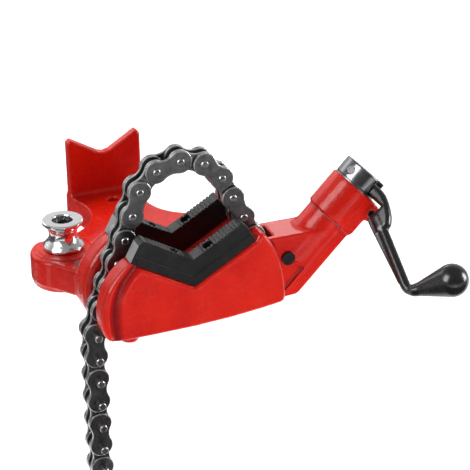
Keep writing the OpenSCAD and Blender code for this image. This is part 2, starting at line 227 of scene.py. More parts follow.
def red_enamel():
    s = Shader("red_enamel")
    big = s.noise(22, 4)
    grain = s.noise(420, 3, 0.6)
    lumps = s.noise(130, 3, 0.5)
    colour = s.ramp(big, [(0.3, (0.58, 0.006, 0.003)), (0.52, (0.67, 0.010, 0.003)), (0.75, (0.74, 0.015, 0.004))])
    # painted shade: hollows, creases and the horn's valley are mixed towards dark maroon
    hollow = s.range(s.math("ADD", s.attribute("hollow"), s.math("MULTIPLY", s.math("SUBTRACT", lumps, 0.5), 0.12)), 0.03, 0.34, 0.0, 1.0)
    colour = s.mix(s.math("MULTIPLY", hollow, 0.85), colour, (0.17, 0.001, 0.004))
    # painted highlight: convex edges are mixed towards pink-white
    ridge_highlight = s.range(s.math("ADD", s.attribute("ridge_highlight"), s.math("MULTIPLY", s.math("SUBTRACT", grain, 0.5), 0.25)), 0.12, 0.6, 0.0, 1.0)
    colour = s.mix(s.math("MULTIPLY", ridge_highlight, 0.22), colour, (0.85, 0.20, 0.17))
    height = s.math("ADD", s.math("MULTIPLY", lumps, 0.75), s.math("MULTIPLY", grain, 0.5))
    rough = s.range(s.noise(60, 3), 0.3, 0.7, 0.20, 0.30)
    n = s.bump(height, 0.0011, 0.7)
    s.set(base=colour, rough=rough, spec=0.2, coat=0.3, coat_rough=0.10, normal=n, coat_normal=s.bump(lumps, 0.0003, 0.35))
    return s.mat


def jaw_black():
    s = Shader("jaw_black")
    colour = s.ramp(s.noise(90, 4), [(0.3, (0.005, 0.005, 0.0055)), (0.7, (0.013, 0.013, 0.014))])
    n = s.bump(s.noise(520, 3), 0.0003, 0.5)
    # painted highlight: the jaws' end faces that tilt up towards the light are painted light grey and made more
    # metallic
    geo = s.nt.nodes.new("ShaderNodeNewGeometry")
    part = s.nt.nodes.new("ShaderNodeSeparateXYZ")
    s.link(geo.outputs["True Normal"], part.inputs[0])
    end_highlight = s.range(s.math("ABSOLUTE", part.outputs["X"]), 0.80, 0.84, 0.0, 1.0)
    end_highlight = s.math("MULTIPLY", end_highlight, s.range(part.outputs["Z"], 0.3, 0.35, 0.0, 1.0))
    colour = s.mix(end_highlight, colour, (0.46, 0.46, 0.47))
    s.set(base=colour, rough=s.range(s.noise(120, 3), 0.3, 0.7, 0.34, 0.48), metal=s.math("ADD", 0.3, s.math("MULTIPLY", end_highlight, 0.6)), normal=n, coat=0.15, coat_rough=0.22)
    return s.mat


def steel(name, base, dark, rough_lo, rough_hi, scale=160, metal=1.0, bump=0.00012, spec=0.5, fine=3.2):
    s = Shader(name)
    fac = s.noise(scale, 4, 0.6)
    colour = s.ramp(fac, [(0.3, dark), (0.7, base)])
    rough = s.range(s.noise(scale * 1.7, 3), 0.3, 0.7, rough_lo, rough_hi)
    height = s.noise(scale * fine, 3)
    s.set(base=colour, rough=rough, metal=metal, spec=spec, normal=s.bump(height, bump, 0.6))
    return s.mat


def turned(name, base, dark, rough_lo, rough_hi, centre, axis, rings=900.0):
    """Steel cut on a lathe: fine rings about the piece's own axis."""
    s = Shader(name)
    vec = s.nt.nodes.new("ShaderNodeVectorMath")
    vec.operation = "SUBTRACT"
    s.link(s.coord, vec.inputs[0])
    vec.inputs[1].default_value = centre
    dot = s.nt.nodes.new("ShaderNodeVectorMath")
    dot.operation = "DOT_PRODUCT"
    s.link(vec.outputs[0], dot.inputs[0])
    dot.inputs[1].default_value = axis
    along = dot.outputs["Value"]
    length = s.nt.nodes.new("ShaderNodeVectorMath")
    length.operation = "LENGTH"
    s.link(vec.outputs[0], length.inputs[0])
    mixed = s.math("ADD", s.math("MULTIPLY", along, 1.0), s.math("MULTIPLY", length.outputs["Value"], 0.6))
    comb = s.nt.nodes.new("ShaderNodeCombineXYZ")
    s.link(s.math("MULTIPLY", mixed, rings), comb.inputs[0])
    cut = s.noise(1.6, 3, 0.6, coord=comb.outputs[0])
    stain = s.noise(90, 4, 0.6)
    colour = s.ramp(s.math("ADD", s.math("MULTIPLY", cut, 0.6), s.math("MULTIPLY", stain, 0.4)), [(0.35, dark), (0.65, base)])
    rough = s.range(s.noise(55, 3), 0.3, 0.7, rough_lo, rough_hi)
    s.set(base=colour, rough=rough, metal=1.0, normal=s.bump(cut, 0.00003, 0.5))
    return s.mat


def chain_shader():
    s = Shader("chain_steel")
    wear_and_sheen = s.attribute("wear_and_sheen")
    fac = s.noise(140, 4, 0.6)
    dark = s.ramp(fac, [(0.3, (0.085, 0.085, 0.088)), (0.7, (0.15, 0.15, 0.154))])
    # rims, pin chamfers and bushings are painted bright silver: partly worn-bright steel, partly painted highlight
    patch = s.math("MULTIPLY", wear_and_sheen, s.range(s.noise(260, 3), 0.25, 0.6, 0.55, 1.0))
    colour = s.mix(patch, dark, (0.86, 0.86, 0.87))
    rough = s.math("SUBTRACT", s.range(s.noise(230, 3), 0.3, 0.7, 0.30, 0.40), s.math("MULTIPLY", wear_and_sheen, 0.10))
    s.set(base=colour, rough=rough, metal=0.92, normal=s.bump(s.noise(620, 3), 0.00016, 0.5))
    return s.mat


MATS = {
    "red_enamel": red_enamel(),
    "jaw_black": jaw_black(),
    "dark_hardware": steel("dark_hardware", (0.060, 0.060, 0.063), (0.025, 0.025, 0.026), 0.30, 0.42, metal=0.8),
    "plain_steel": steel("plain_steel", (0.22, 0.22, 0.23), (0.14, 0.14, 0.15), 0.28, 0.40),
    "polished_steel": turned("polished_steel", (0.92, 0.92, 0.93), (0.78, 0.78, 0.79), 0.15, 0.23, (-0.085, 0.1195, 0.0527), (0, 0, 1), 700.0),
    "turned_steel": turned("turned_steel", (0.26, 0.26, 0.27), (0.18, 0.18, 0.19), 0.16, 0.25, tuple(MOUTH), (S45, 0, S45)),
    "black_forged": steel("black_forged", (0.012, 0.012, 0.013), (0.005, 0.005, 0.0055), 0.20, 0.29, metal=0.0, bump=0.00004, spec=0.7, fine=0.6),
    "chain_steel": chain_shader(),
}

slot_of = {s["node"]: s["material_slot"] for s in frame["record"]["subparts"]}
for name, ob in NODES.items():
    ob.data.materials.clear()
    ob.data.materials.append(MATS[slot_of[name]])

# ------------------------------------------------------------------ fields and meshes


def sd_poly(a, b, pts):
    """Signed distance from (a, b) to a closed polygon."""
    pts = np.asarray(pts, float)
    shape = np.broadcast(a, b).shape
    best = np.full(shape, 1e9)
    inside = np.zeros(shape, bool)
    for p0, p1 in zip(pts, np.roll(pts, -1, 0)):
        e = p1 - p0
        w0, w1 = a - p0[0], b - p0[1]
        t = np.clip((w0 * e[0] + w1 * e[1]) / max(e @ e, 1e-9), 0, 1)
        best = np.minimum(best, (w0 - e[0] * t) ** 2 + (w1 - e[1] * t) ** 2)
        if abs(e[1]) > 1e-9:
            cross = ((p0[1] <= b) != (p1[1] <= b)) & (a < p0[0] + (b - p0[1]) * e[0] / e[1])
            inside ^= cross
    d = np.sqrt(best)
    return np.where(inside, -d, d).astype(np.float32)


def sd_path(a, b, pts):
    """Distance from (a, b) to an open line of points."""
    pts = np.asarray(pts, float)
    best = np.full(np.broadcast(a, b).shape, 1e9)
    for p0, p1 in zip(pts[:-1], pts[1:]):
        e = p1 - p0
        w0, w1 = a - p0[0], b - p0[1]
        t = np.clip((w0 * e[0] + w1 * e[1]) / max(e @ e, 1e-9), 0, 1)
        best = np.minimum(best, (w0 - e[0] * t) ** 2 + (w1 - e[1] * t) ** 2)
    return np.sqrt(best).astype(np.float32)


def both(a, b, q=0.0):
    """Intersection with a rounded edge."""
    if q <= 0:
        return np.maximum(a, b)
    return np.minimum(np.maximum(a, b), -q) + np.hypot(np.maximum(a + q, 0), np.maximum(b + q, 0))


def either(a, b, q=0.0):
    """Union with a fillet."""
    return -both(-a, -b, q) if q > 0 else np.minimum(a, b)


class Field:
    """A block of signed distances, in mm."""

    def __init__(self, lo, hi, h):
        self.h = h
        self.ax = [np.arange(lo[i], hi[i] + h, h, dtype=np.float32) for i in range(3)]
        self.lo = np.array([a[0] for a in self.ax], float)
        self.d = np.full([len(a) for a in self.ax], 60.0, np.float32)

    def part(self, box):
        sl = []
        for i in range(3):
            a = self.ax[i]
            lo = 0 if box is None else max(0, int((box[i][0] - a[0]) / self.h))
            hi = len(a) if box is None else min(len(a), int((box[i][1] - a[0]) / self.h) + 2)
            sl.append(slice(lo, hi))
        return tuple(sl), self.ax[0][sl[0]][:, None, None], self.ax[1][sl[1]][None, :, None], self.ax[2][sl[2]][None, None, :]

    def add(self, fn, box=None, q=0.0):
        sl, x, y, z = self.part(box)
        self.d[sl] = either(self.d[sl], fn(x, y, z), q)

    def cut(self, fn, box=None, q=0.0):
        sl, x, y, z = self.part(box)
        self.d[sl] = both(self.d[sl], -fn(x, y, z), q)

    def sample(self, p):
        g = (p - self.lo) / self.h
        top = np.array(self.d.shape) - 2
        i = np.clip(np.floor(g).astype(int), 0, top)
        f = np.clip(g - i, 0, 1)
        out = 0
        for ox in (0, 1):
            for oy in (0, 1):
                for oz in (0, 1):
                    w = (f[:, 0] if ox else 1 - f[:, 0]) * (f[:, 1] if oy else 1 - f[:, 1]) * (f[:, 2] if oz else 1 - f[:, 2])
                    out = out + w * self.d[i[:, 0] + ox, i[:, 1] + oy, i[:, 2] + oz]
        return out

    def gradient(self, p, e):
        g = np.stack([self.sample(p + np.eye(3)[k] * e) - self.sample(p - np.eye(3)[k] * e) for k in range(3)], 1) / (2 * e)
        return g

    def mesh(self, wide=0.55):
        """Vertices, quads and vertex normals of the zero surface."""
        d = self.d
        s = d < 0
        n = [k - 1 for k in d.shape]
        count = np.zeros(n, np.uint8)
        offs = [(x, y, z) for x in (0, 1) for y in (0, 1) for z in (0, 1)]
        for x, y, z in offs:
            count += s[x:x + n[0], y:y + n[1], z:z + n[2]]
        act = (count > 0) & (count < 8)
        cell = np.argwhere(act)
        idx = np.full(n, -1, np.int32)
        idx[act] = np.arange(len(cell))
        vals = np.stack([d[cell[:, 0] + x, cell[:, 1] + y, cell[:, 2] + z] for x, y, z in offs], 1)
        total = np.zeros((len(cell), 3))
        hits = np.zeros(len(cell))
        for a in range(8):
            for b in range(a + 1, 8):
                step = np.array(offs[b]) - np.array(offs[a])
                if np.abs(step).sum() != 1:
                    continue
                va, vb = vals[:, a], vals[:, b]
                m = (va < 0) != (vb < 0)
                t = np.where(m, va / np.where(m, va - vb, 1), 0)
                total += np.where(m[:, None], np.array(offs[a]) + step * t[:, None], 0)
                hits += m
        p = (cell + total / hits[:, None]) * self.h + self.lo
        for _ in range(2):
            g = self.gradient(p, 0.5 * self.h)
            move = self.sample(p)[:, None] * g / np.maximum((g * g).sum(1), 0.25)[:, None]
            p = p - np.clip(move, -0.3 * self.h, 0.3 * self.h)
        g = self.gradient(p, wide * self.h)
        normal = g / np.maximum(np.linalg.norm(g, axis=1), 1e-6)[:, None]
        quads = []
        for axis in range(3):
            cutter = [slice(1, -1)] * 3
            cutter[axis] = slice(None)
            lower = np.take(s, range(0, s.shape[axis] - 1), axis)
            upper = np.take(s, range(1, s.shape[axis]), axis)
            edge = (lower != upper)[tuple(cutter)]
            at = np.argwhere(edge) + np.array([0 if k == axis else 1 for k in range(3)])
            o1, o2 = [k for k in range(3) if k != axis]
            ring = []
            for d1, d2 in ((-1, -1), (0, -1), (0, 0), (-1, 0)):
                c = at.copy()
                c[:, o1] += d1
                c[:, o2] += d2
                ring.append(idx[c[:, 0], c[:, 1], c[:, 2]])
            ring = np.stack(ring, 1)
            out = s[at[:, 0], at[:, 1], at[:, 2]]
            if axis == 1:
                out = ~out
            ring[~out] = ring[~out][:, ::-1]
            quads.append(ring)
        quads = np.concatenate(quads)
        return p, quads[(quads >= 0).all(1)], normal


def put_mesh(name, verts, faces, normals=None, attrs=None, smooth_angle=None):
    """An object from vertices in mm. Normals, when given, are one per vertex."""
    me = bpy.data.meshes.new(name)
    if isinstance(faces, np.ndarray):
        me.vertices.add(len(verts))
        me.vertices.foreach_set("co", (np.asarray(verts, np.float32) * MM).ravel())
        me.loops.add(faces.size)
        me.loops.foreach_set("vertex_index", faces.astype(np.int32).ravel())
        me.polygons.add(len(faces))
        me.polygons.foreach_set("loop_start", np.arange(0, faces.size, faces.shape[1], dtype=np.int32))
        me.update(calc_edges=True)
    else:
        me.from_pydata([tuple(float(c) * MM for c in v) for v in verts], [], faces)
    me.validate()
    me.polygons.foreach_set("use_smooth", np.ones(len(me.polygons), bool))
    for key, values in (attrs or {}).items():
        a = me.attributes.new(key, "FLOAT", "POINT")
        a.data.foreach_set("value", np.asarray(values, np.float32))
    if normals is not None:
        me.normals_split_custom_set_from_vertices([tuple(v) for v in normals])
    if smooth_angle is not None:
        me.set_sharp_from_angle(angle=math.radians(smooth_angle))
    me.update()
    ob = bpy.data.objects.new(name, me)
    bpy.context.scene.collection.objects.link(ob)
    if smooth_angle is not None:
        w = ob.modifiers.new("normals", "WEIGHTED_NORMAL")
        w.keep_sharp = True
    return ob


def stand_for(ob, node):
    """ob takes the place of a CAD node, on its body and with its finish."""
    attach(ob, NODES[node]["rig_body"])
    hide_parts(node)
    ob.data.materials.clear()
    ob.data.materials.append(MATS[slot_of[node]])
    return ob


class Stack:
    """Vertices and faces gathered from rings and turned shapes."""

    def __init__(self):
        self.v, self.f, self.w = [], [], []

    def rings(self, rings, wear_and_sheen, close=(True, True)):
        base = len(self.v)
        n = len(rings[0])
        for ring, w in zip(rings, wear_and_sheen):
            self.v += [tuple(p) for p in ring]
            self.w += [w] * n
        for r in range(len(rings) - 1):
            a, b = base + r * n, base + (r + 1) * n
            self.f += [(a + i, a + (i + 1) % n, b + (i + 1) % n, b + i) for i in range(n)]
        if close[0]:
            self.f.append(tuple(base + i for i in reversed(range(n))))
        if close[1]:
            self.f.append(tuple(base + (len(rings) - 1) * n + i for i in range(n)))

    def turned(self, profile, matrix, seg=64, closed_profile=False):
        """profile is (radius, along, weight of worn-bright and painted-highlight edges); it turns about the matrix's z
        axis.
        """
        pts = list(profile) + ([profile[0]] if closed_profile else [])
        rings = []
        for r, z, _w in pts:
            r = max(r, 0.02)
            rings.append([matrix @ Vector((r * math.cos(2 * math.pi * i / seg), r * math.sin(2 * math.pi * i / seg), z)) for i in range(seg)])
        self.rings(rings, [p[2] for p in pts], (False, False) if closed_profile else (True, True))

    def object(self, name, smooth_angle=38):
        return put_mesh(name, self.v, self.f, attrs={"wear_and_sheen": self.w}, smooth_angle=smooth_angle)


# ------------------------------------------------------------------ casting
CHEEK_LEFT = [(-64.5, -34.3), (-71, -38.3), (-78.5, -45.3), (-85.6, -54), (-91.2, -64.5), (-94.8, -76), (-96.3, -88),
              (-96.1, -97), (-94.8, -104), (-92, -109.8), (-87.5, -114), (-81, -116)]
CHEEK_RIGHT = [(64.8, -34.1), (67, -29.6), (70.5, -27.2), (75, -29.6), (79.6, -36.6), (85, -46), (90, -61),
               (93.2, -75), (94.8, -90), (95.2, -102), (93.6, -106), (90, -107.4), (70, -110.2), (37, -113.4),
               (0, -115.4), (-40, -116)]
ZC = 120.0


def rounded(pts, times=2):
    """An open line with its corners cut again and again, ends kept."""
    for _ in range(times):
        out = [pts[0]]
        for a, b in zip(pts[:-1], pts[1:]):
            out.append((0.75 * a[0] + 0.25 * b[0], 0.75 * a[1] + 0.25 * b[1]))
            out.append((0.25 * a[0] + 0.75 * b[0], 0.25 * a[1] + 0.75 * b[1]))
        out.append(pts[-1])
        pts = out
    return pts


CHEEK = rounded(CHEEK_LEFT) + list(CHEEK_RIGHT[12:])[::-1] + rounded(CHEEK_RIGHT[1:12])[::-1] + [CHEEK_RIGHT[0], (0, -71.3)]


HORN_RIM = rounded([(-80, -111), (-85.2, -109.2), (-88.6, -104.8), (-90.9, -98.5), (-91.7, -88.5), (-90.3, -77.6), (-86.9, -67), (-81.8, -57.2), (-75.4, -48.8), (-68.6, -42.3), (-62.6, -38.6)])
VALLEY = rounded([(-80.5, -121), (-81.8, -104), (-82.6, -91), (-82.2, -80), (-80.0, -69), (-75.8, -58.6), (-69.4, -48.6), (-62.2, -40.6), (-55.5, -34)])


def near(x0, x1, y0, y1, z0, z1, pad=7.0):
    return ((x0 - pad, x1 + pad), (y0 - pad, y1 + pad), (z0 - pad, z1 + pad))


def uv(x, z):
    a, b = x - 187.0, z - (ZC - 13.5)
    return (a + b) * S45, (a - b) * S45


def plate_xz(pts, y0, y1, q):
    def fn(x, y, z):
        d2 = sd_poly(x[:, 0, :], z[0, :, :] - ZC, pts)[:, None, :]
        return both(d2, np.abs(y - (y0 + y1) / 2) - (y1 - y0) / 2, q)
    return fn


def plate_uv(pts, half, q):
    def fn(x, y, z):
        u, v = uv(x[:, 0, :], z[0, :, :])
        return both(sd_poly(u, v, pts)[:, None, :], np.abs(y) - half, q)
    return fn


def tube_u(r, u0, u1, q):
    def fn(x, y, z):
        u, v = uv(x, z)
        return both(np.hypot(v, y) - r, np.abs(u - (u0 + u1) / 2) - (u1 - u0) / 2, q)
    return fn


def post(cx, cy, r, z0, z1, q):
    def fn(x, y, z):
        return both(np.hypot(x - cx, y - cy) - r, np.abs(z - (z0 + z1) / 2) - (z1 - z0) / 2, q)
    return fn


def casting():
    c = Field((-125, -50, -4), (207, 257, 130), 1.6)

    def deck(x, y, z):
        ax = np.abs(x[:, :, 0])
        yy = y[:, :, 0]
        body = sd_poly(ax, yy, [(-40, 14), (89, 14), (90, 68), (113.2, 100.2), (85, 152), (60, 165), (41, 235), (41, 252), (-40, 252)])
        d2 = np.minimum(body, (np.hypot(ax - 85, yy - 119.5) - 35).astype(np.float32))
        d2 = both(d2, (55.5 - np.hypot(ax - 88.5, yy - 203)).astype(np.float32), 5)
        return both(d2[:, :, None], np.abs(z - 19) - 15, 3.6)

    c.add(deck, near(-121, 121, 14, 253, 3, 35))
    for s in (-1, 1):
        c.add(post(s * 85, 119.5, 33.5, 0.2, 8, 1.5), near(s * 85 - 34, s * 85 + 34, 85, 154, 0, 8), 1.5)
    c.add(post(85, 119.5, 15, 30, 36.2, 1.2), near(70, 100, 104, 135, 30, 36), 1.5)
    c.add(post(0, 217, 15, 0.2, 8, 1.2), near(-15, 15, 202, 232, 0, 8), 1.5)
    c.add(plate_xz([(-41, -112), (-41, -25), (-38, -21.8), (-36.5, -21.2), (-6, -39.75), (0, -41.1), (6, -39.75), (36.5, -21.2),
                    (38, -21.8), (41, -25), (41, -112)], 240, 252, 2.4), near(-41, 41, 240, 252, 8, 99), 5)
    c.cut(lambda x, y, z: (252.0 - y + 0.0 * (x + z)).astype(np.float32), near(-48, 48, 246, 250, 3, 104))
    for s in (-1, 1):
        def cheek(x, y, z, s=s):
            d2 = sd_poly(x[:, 0, :], z[0, :, :] - ZC, CHEEK)[:, None, :]
            d = both(d2, s * y - 42, 4.2)
            d = both(d, 16 - s * y, 8.0)
            bead = np.hypot(sd_path(x[:, 0, :], z[0, :, :] - ZC, HORN_RIM)[:, None, :], s * y - 39.0) - 4.9
            d = either(d, bead, 2.0)
            valley = np.hypot(sd_path(x[:, 0, :], z[0, :, :] - ZC, VALLEY)[:, None, :], s * y - 45.2) - 6.4
            d = both(d, -valley, 2.6)
            return d
        c.add(cheek, near(-98, 97, 14 if s > 0 else -46, 46 if s > 0 else -14, 3, 99), 5.0 if s > 0 else 0.0)
    c.add(plate_xz([(-77, -116), (-70.5, -99), (-60, -99), (92, -99), (92, -113)], -19, 19, 0.5), near(-77, 92, -19, 19, 3, 22), 1.5)
    # screw housing, its web and flange
    side = Field((70, -50, -4), (207, 50, 130), 1.6)
    side.add(tube_u(22.6, -95, -38, 1.0), None)
    side.add(plate_xz([(78, -46.5), (160.8, -46.5), (91.8, -115.5), (78, -115.5)], -20, 20, 1.6), None, 3.0)
    side.add(plate_uv([(-39.6, 4), (-39.6, 18.6), (-117, 18.6), (-121.5, 17.3), (-125.5, 13.5), (-131, 9), (-134.5, 6), (-136.6, 4)],
                      23.0, 1.7), None, 0.0)
    side.add(tube_u(25.2, -39.6, 0, 1.3), None, 0.8)
    side.add(plate_uv([(0, 4.5), (0, 18), (-2, 20.6), (-38, 20.6), (-42.4, 18.6), (-42.4, 4.5)], 24.9, 2.0), None, 0.0)

    def lug(x, y, z):
        u, v = uv(x, z)
        return both(np.hypot(u + 10.4, v - 22.3) - 9.3, np.abs(y) - 24.9, 2.2)
    side.add(lug, None, 2.5)
    sl, x, y, z = c.part(((side.ax[0][0], 999), (side.ax[1][0], 50), (side.ax[2][0], 999)))
    p = np.stack(np.broadcast_arrays(x, y, z), -1).reshape(-1, 3)
    other = side.sample(p).reshape(c.d[sl].shape).astype(np.float32)
    c.d[sl] = either(c.d[sl], other, 3.0)
    for fx, fy, fr in ((-66, -31, 9), (0, 0, 13), (62, 0, 13)):
        c.add(post(fx, fy, fr, 0.2, 8, 1.0), near(fx - fr, fx + fr, fy - fr, fy + fr, 0, 8), 1.0)
    # bores, slots and holes
    c.cut(tube_u(20.1, -40.5, 20, 0), near(140, 207, -24, 24, 60, 130), 0.7)
    c.cut(tube_u(16.6, -90, -30, 0), near(110, 190, -24, 24, 40, 110))
    c.cut(plate_xz([(70, -99), (70, -52.5), (168, -52.5), (121.5, -99)], -12, 12, 0), near(70, 168, -12, 12, 13, 68), 0.7)
    c.cut(plate_xz([(70, -60), (70, -10), (94, -10), (94, -60)], -12, 12, 0), near(70, 94, -12, 12, 60, 110), 0.7)

    def screw_hole(x, y, z):
        u, v = uv(x, z)
        return both(np.hypot(u + 10.4, v - 21.6) - 3.6, y - 9, 0)
    c.cut(screw_hole, near(165, 205, -26, 10, 60, 130), 0.5)
    c.cut(post(0, 217, 5.9, -5, 60, 0), near(-8, 8, 209, 225, -4, 40), 0.9)
    c.cut(post(85, 119.5, 5.9, -5, 60, 0), near(77, 93, 111, 128, -4, 40), 0.9)
    c.cut(post(-85, 119.5, 12.5, -5, 12, 0), near(-98, -72, 106, 133, -4, 12), 0.5)

    def hollow(x, y, z):
        return both(both(np.abs(x) - 27, np.abs(y - 124) - 66, 8), np.abs(z - 9) - 14, 2)
    c.cut(hollow, near(-27, 27, 58, 190, -4, 23), 0.8)
    v, f, n = c.mesh()
    # painted shade weights: a probe 5 mm out along the normal finds nearby surfaces in hollows and creases, and the
    # horn's valley gets a fixed extra amount
    hollow_painted_shade = np.clip(1 - c.sample(v + n * 5.0) / 5.0, 0, 1)
    valley_painted_shade = np.clip(1 - np.abs(sd_path(v[:, 0], v[:, 2] - ZC, VALLEY)) / 7.5, 0, 1) * np.clip((np.abs(v[:, 1]) - 34) / 3, 0, 1)
    hollow_painted_shade = np.maximum(hollow_painted_shade, 0.42 * valley_painted_shade)
    # painted highlight weights: a probe 2 mm in along the normal finds convex edges
    ridge_highlight_at = np.clip(1 + c.sample(v - n * 2.0) / 2.0, 0, 1)
    ob = put_mesh("base_casting_shape", v, f, n, {"hollow": hollow_painted_shade, "ridge_highlight": ridge_highlight_at})
    # the roller's seat, turned in three fine steps
    st = Stack()
    prof = [(29.8, 32.5, 0), (29.4, 34.2, 0), (28.7, 34.75, 0), (26.9, 34.8, 0), (26.4, 34.95, 0), (26.1, 35.45, 0), (25.5, 35.6, 0),
            (24.1, 35.62, 0), (23.6, 35.8, 0), (23.35, 36.2, 0), (22.8, 36.4, 0), (6.1, 36.4, 0), (6.1, 32.5, 0)]
    st.turned(prof, Matrix.Translation((-85, 119.5, 0)), 96)
    seat = st.object("seat_shape", 40)
    seat.modifiers.clear()
    stand_for(ob, "base_casting")
    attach(seat, "base")
    seat.name = "roller_seat_rings"
    seat.data.materials.append(MATS["red_enamel"])
    return ob


casting()

# ------------------------------------------------------------------ chain
PLATE_R, WAIST_R = 11.7, 15.9
WAIST_C = math.sqrt((PLATE_R + WAIST_R) ** 2 - (PITCH / 2) ** 2)
WAIST_A = math.atan2(WAIST_C, PITCH / 2)


def plate_outline(inset):
    """Points of a link plate's outline, moved in by inset."""
    r, w = PLATE_R - inset, WAIST_R + inset
    out = []

    def arc(cx, cz, rad, a0, a1, n):
        out.extend((cx + rad * math.cos(a0 + (a1 - a0) * i / n), cz + rad * math.sin(a0 + (a1 - a0) * i / n)) for i in range(n))
    arc(0, 0, r, WAIST_A, 2 * math.pi - WAIST_A, 30)
    arc(PITCH / 2, -WAIST_C, w, math.pi - WAIST_A, WAIST_A, 9)
    arc(PITCH, 0, r, -(math.pi - WAIST_A), math.pi - WAIST_A, 30)
    arc(PITCH / 2, WAIST_C, w, -WAIST_A, -(math.pi - WAIST_A), 9)
    return out


# rim rings as (inset, y, weight): the weight paints the rim bevels bright, partly as worn steel, partly as painted
# highlight
PLATE_RIM = [(1.5, 0.0, 0.0), (0.55, 0.1, 0.45), (0.12, 0.42, 1.0), (0.0, 0.85, 0.35), (0.0, 2.05, 0.35), (0.12, 2.48, 1.0),
             (0.55, 2.8, 0.45), (1.5, 2.9, 0.0)]
ALONG_Y = Matrix(((1, 0, 0), (0, 0, 1), (0, -1, 0))).to_4x4()


def chain_link(i):
    a, b = PINS[i], PINS[i + 1]
    turn = math.atan2(b[1] - a[1], b[0] - a[0])
    place = Matrix.Translation((a[0], 0, ZC + a[1])) @ Matrix.Rotation(-turn, 4, "Y")
    st = Stack()
    outer = i % 2 == 1
    y_in = 7.3 if outer else 3.9
    for s in (-1, 1):
        rings = [[place @ Vector((x, s * (y_in + y), z)) for x, z in plate_outline(e)] for e, y, _w in PLATE_RIM]
        if s > 0:
            rings = [r[::-1] for r in rings]
        st.rings(rings, [w for _e, _y, w in PLATE_RIM])
    # pin chamfers and bushings carry high edge weights too, so the chain shader paints them bright: partly worn steel,
    # partly painted highlight
    for x in (0, PITCH):
        m = place @ Matrix.Translation((x, 0, 0)) @ ALONG_Y
        if outer:
            hl = 21.0 if i >= 17 else 11.5
            if i >= 17:
                prof = [(0, -hl, 0.1), (3.2, -hl, 0.15), (3.9, -hl + 0.7, 0.6), (3.9, -hl + 1.4, 0.2), (3.9, 0, 0.2),
                        (3.9, hl - 1.4, 0.2), (3.9, hl - 0.7, 0.6), (3.2, hl, 0.15), (0, hl, 0.1)]
            else:
                prof = [(0, -hl + 0.3, 0.05), (2.2, -hl + 0.2, 0.1), (2.8, -hl, 0.35), (3.3, -hl + 0.2, 0.55), (3.9, -hl + 1.0, 0.3),
                        (3.9, -10.1, 0.0), (3.9, 0, 0.3), (3.9, 10.1, 0.0), (3.9, hl - 1.0, 0.3), (3.3, hl - 0.2, 0.55), (2.8, hl, 0.35),
                        (2.2, hl - 0.2, 0.1), (0, hl - 0.3, 0.05)]
            st.turned(prof, m, 40)
        else:
            st.turned([(3.95, -7.0, 0.6), (4.6, -7.1, 0.9), (5.0, -6.8, 0.6), (5.0, -3.8, 0.8), (5.0, 3.8, 0.8), (5.0, 6.8, 0.6),
                       (4.6, 7.1, 0.9), (3.95, 7.0, 0.6)], m, 40, True)
    return stand_for(st.object(LINKS[i] + "_shape", 32), LINKS[i])


for _i in range(26):
    chain_link(_i)

# ------------------------------------------------------------------ roller
st = Stack()
mid, gr, gx = 15.5, 12.0, 26.4
a0 = math.acos((gx - 19.0) / gr)
prof = [(8.06, 0.1, 0), (19.9, 0.1, 0), (20.6, 0.3, 0), (21.05, 0.75, 0), (21.2, 1.4, 0), (21.2, 3.0, 0), (21.0, 3.5, 0), (20.6, 3.9, 0)]
prof += [(gx - gr * math.cos(k / 12 * a0), mid + gr * math.sin(k / 12 * a0), 0) for k in range(-12, 13)]
prof += [(20.6, 27.1, 0), (21.0, 27.5, 0), (21.2, 28.0, 0), (21.2, 29.6, 0), (21.05, 30.25, 0), (20.6, 30.7, 0), (19.9, 30.9, 0), (19.2, 31, 0),
         (12.2, 31, 0), (11.4, 30.85, 0), (10.8, 30.3, 0), (10.35, 29.4, 0), (10.35, 22, 0), (10.35, 11, 0), (8.06, 11, 0)]
st.turned(prof, Matrix.Translation((-85, 119.5, 37.2)), 128, True)
stand_for(st.object("bender_roller_shape", 30), "bender_roller")

# ------------------------------------------------------------------ nut's collar and the crank, in the crank's own frame
TURN = math.radians(65)
N_AX = Vector((math.sin(TURN) * S45, math.cos(TURN), -math.sin(TURN) * S45))
W_AX = Vector((math.cos(TURN) * S45, -math.sin(TURN), -math.cos(TURN) * S45))
U_AX = Vector((S45, 0, S45))


def from_wnu(p, n):
    """Points and normals given along (w, n, u) of the turned frame, to the shared frame."""
    basis = np.array([W_AX, N_AX, U_AX])
    return p @ basis + np.array(MOUTH) / MM, n @ basis


def collar():
    c = Field((-27, -27, -43), (27, 27, 22), 0.65)
    c.add(lambda x, y, z: both(np.hypot(x, y) - 23.5, np.abs(z - 10.45) - 8.85, 1.0))
    c.add(lambda x, y, z: both(np.hypot(x, y) - 20.03, np.abs(z + 19) - 21, 0.4))
    c.cut(lambda x, y, z: both(np.hypot(x, y) - 8.4, z - 3.0, 0))
    c.cut(lambda x, y, z: both(18.1 - np.hypot(x, y), np.abs(z + 10.4) - 3.6, 0))

    def slot(x, y, z):
        return both(both(-9.5 - x, np.abs(y) - 6.4, 2.5), 1.35 - z, 0)
    c.cut(slot, None, 0.7)
    c.cut(lambda x, y, z: np.hypot(x, z - 9.9) - 4.0, None, 0.4)
    v, f, n = c.mesh()
    v, n = from_wnu(v, n)
    stand_for(put_mesh("screw_nut_shape", v, f, n), "screw_nut")


collar()


def round_cone(x, y, z, a, b, ra, rb):
    """A ball of radius ra at a and one of rb at b, with the cone that touches both."""
    a, b = np.array(a, float), np.array(b, float)
    e = b - a
    length = np.linalg.norm(e)
    e = e / length
    w = [x - a[0], y - a[1], z - a[2]]
    along = w[0] * e[0] + w[1] * e[1] + w[2] * e[2]
    out = np.sqrt(np.maximum(w[0] ** 2 + w[1] ** 2 + w[2] ** 2 - along ** 2, 0))
    sb = (ra - rb) / length
    sa = math.sqrt(1 - sb * sb)
    k = -sb * out + sa * along
    side = sa * out + sb * along - ra
    return np.where(k < 0, np.hypot(out, along) - ra, np.where(k > sa * length, np.hypot(out, along - length) - rb, side)).astype(np.float32)


